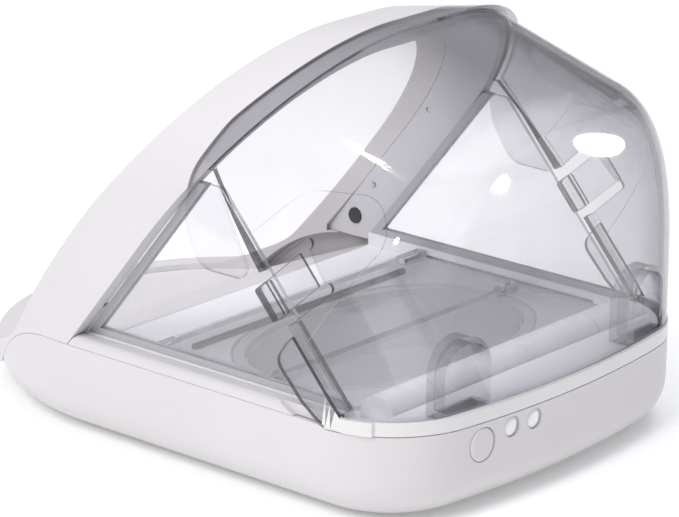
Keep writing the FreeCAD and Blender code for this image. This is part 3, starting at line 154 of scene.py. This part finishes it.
def clear(name, tint, edge_tint, turn=2.5):
    """Clear moulded plastic: passes light straight, tinted, with a polished reflection."""
    mat, tree = new_material(name)
    out = node(tree, "ShaderNodeOutputMaterial")
    weight = node(tree, "ShaderNodeLayerWeight")
    weight.inputs["Blend"].default_value = 0.5
    facing = weight.outputs["Facing"]
    fresnel = maths(tree, "MULTIPLY", maths(tree, "POWER", facing, 4.0), 0.9)
    fresnel = maths(tree, "ADD", fresnel, 0.04)
    haze = remap(tree, noise(tree, 30.0), 0.975, 1.0)
    tinted = blend_colour(tree, maths(tree, "POWER", facing, turn), tint, edge_tint)
    scaled = node(tree, "ShaderNodeVectorMath", operation="SCALE")
    tree.links.new(tinted, scaled.inputs[0])
    tree.links.new(haze, scaled.inputs["Scale"])
    through = node(tree, "ShaderNodeBsdfTransparent")
    tree.links.new(scaled.outputs[0], through.inputs["Color"])
    shine = node(tree, "ShaderNodeBsdfGlossy")
    shine.inputs["Color"].default_value = (1, 1, 1, 1)
    spread = remap(tree, noise(tree, 60.0), SHEET_ROUGH * 0.6, SHEET_ROUGH * 1.5)
    tree.links.new(spread, shine.inputs["Roughness"])
    bevel = node(tree, "ShaderNodeBevel", samples=4)
    bevel.inputs["Radius"].default_value = SHEET_EDGE_R
    bump = node(tree, "ShaderNodeBump", Strength=0.02, Distance=0.0005)
    tree.links.new(noise(tree, 22.0), bump.inputs["Height"])
    tree.links.new(bevel.outputs[0], bump.inputs["Normal"])
    tree.links.new(bump.outputs[0], shine.inputs["Normal"])
    mix = node(tree, "ShaderNodeMixShader")
    tree.links.new(fresnel, mix.inputs[0])
    tree.links.new(through.outputs[0], mix.inputs[1])
    tree.links.new(shine.outputs[0], mix.inputs[2])
    tree.links.new(mix.outputs[0], out.inputs["Surface"])
    return mat


def rim(name, colour, share):
    """Cut edge of a clear moulding: dark, glossy and only partly see-through."""
    mat, tree = new_material(name)
    out = node(tree, "ShaderNodeOutputMaterial")
    shader = node(tree, "ShaderNodeBsdfPrincipled")
    drift = tuple(c * 1.6 + 0.02 for c in colour)
    tree.links.new(blend_colour(tree, remap(tree, noise(tree, 60.0), 0.0, 1.0), colour, drift),
                   shader.inputs["Base Color"])
    tree.links.new(remap(tree, noise(tree, 140.0), 0.06, 0.16), shader.inputs["Roughness"])
    bevel = node(tree, "ShaderNodeBevel", samples=4)
    bevel.inputs["Radius"].default_value = CUT_EDGE_R
    bump = node(tree, "ShaderNodeBump", Strength=0.05, Distance=0.0004)
    tree.links.new(noise(tree, 200.0), bump.inputs["Height"])
    tree.links.new(bevel.outputs[0], bump.inputs["Normal"])
    tree.links.new(bump.outputs[0], shader.inputs["Normal"])
    through = node(tree, "ShaderNodeBsdfTransparent")
    through.inputs["Color"].default_value = (*THROUGH_CUT, 1.0)
    mix = node(tree, "ShaderNodeMixShader")
    mix.inputs[0].default_value = share
    tree.links.new(through.outputs[0], mix.inputs[1])
    tree.links.new(shader.outputs[0], mix.inputs[2])
    tree.links.new(mix.outputs[0], out.inputs["Surface"])
    return mat


WHITE = solid("white_plastic", (0.70, 0.680, 0.688), 0.42, grain=0.03)
# Deck and bowl well: their own pale colour, lifted brighter than white_plastic to offset the shade under
# the hood, so partly painted light.
PALE_DECK_PAINTED_LIGHT = solid("pale_plastic_painted_light", (0.93, 0.922, 0.95), 0.36, grain=0.02)
GREY = solid("grey_plastic", (0.70, 0.685, 0.715), 0.42, grain=0.04)
FRAME = solid("frame_grey", (0.50, 0.50, 0.52), 0.30, grain=0.03)
BARREL = solid("barrel_satin", (0.90, 0.893, 0.91), 0.28, grain=0.03)
BOWL = solid("bowl_satin", (0.82, 0.81, 0.822), 0.24, grain=0.02, coat=0.25)
RUBBER = solid("soft_rubber", (0.22, 0.22, 0.23), 0.65, grain=0.08)
STEEL = solid("plain_steel", (0.60, 0.60, 0.61), 0.28, metallic=1.0, grain=0.05)
NYLON = solid("natural_nylon", (0.80, 0.79, 0.74), 0.45)
BOARD = solid("solder_mask", (0.03, 0.16, 0.08), 0.35, coat=0.3)
BLACK = solid("black_plastic", (0.02, 0.02, 0.022), 0.35)
COPPER = solid("enamelled_copper", (0.55, 0.26, 0.13), 0.3, metallic=0.6)
CELL = solid("cell_sleeve", (0.09, 0.10, 0.12), 0.35, metallic=0.3, coat=0.4)
SMOKE = clear("smoky_clear", (0.968, 0.965, 0.972), (0.34, 0.33, 0.36), turn=2.0)
SMOKE_THICK = clear("smoky_clear_double", (0.90, 0.90, 0.915), (0.52, 0.52, 0.54))
SMOKE_WALL = clear("smoky_clear_wall", (0.92, 0.92, 0.94), (0.05, 0.05, 0.055), turn=1.8)
BAND = solid("satin_band", (0.77, 0.755, 0.75), 0.30, grain=0.02, coat=0.2)
CLEAR = clear("water_clear", (0.988, 0.988, 0.992), (0.86, 0.865, 0.88))
LID = clear("lid_clear", (0.986, 0.986, 0.99), (0.80, 0.80, 0.82))
LENS = solid("frosted_lens", (0.86, 0.85, 0.85), 0.22, grain=0.0, coat=1.0)
# The pad's step walls are the hood's clear plastic, painted pale as a painted highlight: the bright line
# where the step catches the light.
PAD_STEP_PAINTED_HIGHLIGHT = rim("pad_step_painted_highlight", (0.90, 0.90, 0.92), 0.85)
SMOKE_RIM = rim("smoky_cut_edge", (0.03, 0.03, 0.034), 0.80)
CLEAR_RIM = rim("clear_cut_edge", (0.50, 0.51, 0.53), 0.6)

looks = {
    "base_tub": WHITE, "hoop_shell": WHITE, "right_side_trim": WHITE, "left_side_trim": WHITE,
    "open_close_button": WHITE, "deck": PALE_DECK_PAINTED_LIGHT, "bowl_well": PALE_DECK_PAINTED_LIGHT, "chin_tray": WHITE,
    "hoop_liner": GREY, "right_window_frame": FRAME, "left_window_frame": FRAME, "hinge_barrel": BARREL,
    "right_barrel_end": BARREL, "left_barrel_end": BARREL, "bowl": BOWL, "base_plate": WHITE,
    "right_battery_door": WHITE, "left_battery_door": WHITE, "right_battery_box": NYLON,
    "left_battery_box": NYLON, "rubber_feet": RUBBER, "lid_seal": RUBBER, "bowl_mat": RUBBER,
    "base_screws": STEEL, "liner_screws": STEEL, "gearbox_screws": STEEL, "lid_hinge_pins": STEEL,
    "lid_guide_pins": STEEL, "lid_shaft": STEEL, "gear_axles": STEEL, "motor": STEEL, "motor_shaft": STEEL,
    "battery_contacts": STEEL, "shaft_bushes": NYLON, "shaft_gear": NYLON, "idler_gear": NYLON,
    "compound_gear": NYLON, "motor_pinion": NYLON, "gearbox_frame": NYLON, "circuit_board": BOARD,
    "indicator_lenses": LENS, "sensor_windows": BLACK, "button_switch": BLACK, "indicator_leds": NYLON,
    "reader_coil": COPPER, "batteries": CELL,
}
sheets = {
    "rear_hood": (SMOKE, SMOKE_RIM, SMOKE_THICK, SMOKE_WALL, BAND, PAD_STEP_PAINTED_HIGHLIGHT),
    "right_release_tab": (SMOKE, SMOKE_RIM), "left_release_tab": (SMOKE, SMOKE_RIM),
    "right_window": (CLEAR, CLEAR_RIM), "left_window": (CLEAR, CLEAR_RIM),
    "lid_rear_panel": (LID, CLEAR_RIM), "lid_front_panel": (LID, CLEAR_RIM),
}


def dress(name, mats):
    obj = nodes[name]
    obj.data.materials.clear()
    for mat in mats:
        obj.data.materials.append(mat)
    for poly in obj.data.polygons:
        poly.material_index = 0


def smooth_patches(mesh):
    """Lists of faces that join smoothly, each list one face of the moulding."""
    bm = bmesh.new()
    bm.from_mesh(mesh)
    mark = bm.faces.layers.int.new("number")
    for face in bm.faces:
        face[mark] = face.index
    bmesh.ops.remove_doubles(bm, verts=bm.verts, dist=2e-6)
    limit = math.radians(PATCH_ANGLE)
    seen = set()
    patches = []
    for start in bm.faces:
        if start in seen:
            continue
        seen.add(start)
        patch = [start]
        for face in patch:
            for edge in face.edges:
                if len(edge.link_faces) != 2 or edge.calc_face_angle(0.0) > limit:
                    continue
                for other in edge.link_faces:
                    if other not in seen:
                        seen.add(other)
                        patch.append(other)
        patches.append([face[mark] for face in patch])
    bm.free()
    return patches


def mark_rims(name):
    """Moulding faces that look edgewise into the sheet take the second material."""
    mesh = nodes[name].data
    corners = [v.co.copy() for v in mesh.vertices]
    tree = BVHTree.FromPolygons(corners, [tuple(p.vertices) for p in mesh.polygons])
    for patch in smooth_patches(mesh):
        whole = 0.0
        deep = 0.0
        for number in patch:
            poly = mesh.polygons[number]
            hit = tree.ray_cast(poly.center - poly.normal * 2e-5, -poly.normal, 1.0)
            whole += poly.area
            if hit[0] is None or hit[3] > RIM_DEPTH:
                deep += poly.area
        if deep > 0.5 * whole:
            for number in patch:
                mesh.polygons[number].material_index = 1


def on_outline(x, y, depth):
    """Whether a point is within depth of the base's plan outline, at the rear."""
    bow_y = HALF_L - BOW_R
    corner_x = HALF_W - CORNER_R
    corner_y = bow_y + math.sqrt((BOW_R - CORNER_R) ** 2 - corner_x ** 2)
    if abs(x) > corner_x and y > corner_y:
        return math.hypot(abs(x) - corner_x, y - corner_y) > CORNER_R - depth
    if y <= corner_y:
        return abs(x) > HALF_W - depth
    return math.hypot(x, y - bow_y) > BOW_R - depth


def behind_seam(y, z):
    """Distance behind the line where the hood's sides end."""
    top_y = PLANE_Y + (SEAM_TOP_Z - RAIL_Z) / PLANE_SLOPE
    run = SEAM_FOOT_Y - top_y
    rise = SEAM_TOP_Z - RAIL_Z
    return ((y - SEAM_FOOT_Y) * rise + (z - RAIL_Z) * run) / math.hypot(run, rise)


def mark_hood():
    """The hood's strip, scoop walls and band take their own materials; the pad borders take a painted
    highlight.
    """
    mesh = nodes["rear_hood"].data
    for poly in mesh.polygons:
        x, y, z = poly.center
        if y < PLANE_Y + (z - RAIL_Z) / PLANE_SLOPE - 0.0004 and z > STRIP_LOW_Z:
            if poly.material_index == 0:
                poly.material_index = 2
        in_scoop = SCOOP_X[0] < abs(x) < SCOOP_X[1] and SCOOP_Y[0] < y < SCOOP_Y[1] and z < SCOOP_TOP_Z
        if in_scoop and abs(poly.normal.y) < 0.7:
            poly.material_index = 3
        if z < BAND_TOP_Z and y > BAND_START_Y and on_outline(x, y, BAND_DEPTH):
            poly.material_index = 4
        across = [abs(mesh.vertices[v].co.x) for v in poly.vertices]
        near_pad = PAD_Y[0] < y < PAD_Y[1] and PAD_Z[0] < z < PAD_Z[1] and min(across) > PAD_MIN_X
        low_step = max(across) - min(across) < PAD_STEP and abs(poly.normal.x) < 0.6
        if near_pad and low_step and behind_seam(y, z) > PAD_BEHIND_SEAM:
            # pad border walls take the painted highlight material
            poly.material_index = 5


for name, mat in looks.items():
    dress(name, [mat])
for name, mats in sheets.items():
    dress(name, mats)
    mark_rims(name)
mark_hood()


# ------------------------------------------------------------ stage and light

def plane(name, size, place, mat):
    mesh = bpy.data.meshes.new(name)
    half = size / 2
    corners = [(-half, -half, 0), (half, -half, 0), (half, half, 0), (-half, half, 0)]
    mesh.from_pydata(corners, [], [(0, 1, 2, 3)])
    obj = bpy.data.objects.new(name, mesh)
    obj.location = place
    bpy.context.scene.collection.objects.link(obj)
    mesh.materials.append(mat)
    return obj


floor_mat, tree = new_material("floor")
out = node(tree, "ShaderNodeOutputMaterial")
shader = node(tree, "ShaderNodeBsdfPrincipled")
shader.inputs["Base Color"].default_value = (0.95, 0.95, 0.95, 1)
shader.inputs["Roughness"].default_value = 0.9
shader.inputs["Emission Color"].default_value = (1, 1, 1, 1)
shader.inputs["Emission Strength"].default_value = 0.14
tree.links.new(shader.outputs[0], out.inputs["Surface"])
floor = plane("floor", 30.0, (0, 0, 0), floor_mat)

world = bpy.data.worlds.new("studio")
bpy.context.scene.world = world
world.use_nodes = True
world.node_tree.nodes["Background"].inputs[0].default_value = (0.95, 0.96, 1.0, 1)
world.node_tree.nodes["Background"].inputs[1].default_value = 0.40


def area(name, place, target, size, power, colour=(1, 1, 1), seen=True):
    data = bpy.data.lights.new(name, "AREA")
    data.shape = "RECTANGLE"
    data.size, data.size_y = size
    data.energy = power
    data.color = colour
    obj = bpy.data.objects.new(name, data)
    obj.location = place
    obj.rotation_euler = (Vector(target) - Vector(place)).to_track_quat("-Z", "Y").to_euler()
    obj.visible_glossy = seen
    bpy.context.scene.collection.objects.link(obj)
    return obj


area("key", (1.75, 0.0, 1.75), (0, 0, 0.1), (1.4, 1.4), 33, seen=False)
area("top", (-0.2, 0.2, 2.2), (0, 0, 0.1), (1.6, 1.6), 26, (0.97, 0.95, 1.0), seen=False)


def glint(name, spot, way, reach, size, strength):
    """Small soft lamp that only shows as a reflection at spot."""
    place = Vector(spot) + Vector(way).normalized() * reach
    lamp = area(name, place, spot, size, strength * math.pi * size[0] * size[1])
    lamp.data.shape = "ELLIPSE"
    lamp.visible_camera = False
    lamp.visible_diffuse = False
    lamp.visible_transmission = False


glint("glint_rear_wide", (-0.020, 0.161, 0.157), (-0.81, 0.50, -0.28), 0.40, (0.085, 0.012), 30)
glint("glint_rear_small", (0.052, 0.1587, 0.1537), (-0.61, 0.74, -0.29), 0.40, (0.034, 0.010), 30)
glint("glint_side", (0.096, 0.1356, 0.1337), (0.90, 0.12, 0.41), 2.5, (0.16, 0.16), 40)
glint("glint_shoulder", (0.0827, 0.1066, 0.1636), (0.53, -0.29, 0.80), 2.5, (0.03, 0.03), 400)

view = bpy.data.cameras.new("camera")
view.sensor_width = 36.0
view.lens = 194.44
view.clip_start = 0.05
view.clip_end = 60.0
camera = bpy.data.objects.new("camera", view)
place = (1.2725, 1.1062, 0.6265)
turn, lift, roll = (math.radians(a) for a in (130.43, 18.21, 0.692))
back = Vector((math.sin(turn) * math.cos(lift), -math.cos(turn) * math.cos(lift), math.sin(lift)))
right = Vector((0, 0, 1)).cross(back).normalized()
up = back.cross(right)
right, up = right * math.cos(roll) + up * math.sin(roll), up * math.cos(roll) - right * math.sin(roll)
camera.matrix_world = Matrix((
    (right.x, up.x, back.x, place[0]),
    (right.y, up.y, back.y, place[1]),
    (right.z, up.z, back.z, place[2]),
    (0, 0, 0, 1),
))
bpy.context.scene.collection.objects.link(camera)
bpy.context.scene.camera = camera
bpy.context.scene.view_settings.view_transform = "Standard"
bpy.context.scene.cycles.transparent_max_bounces = 32
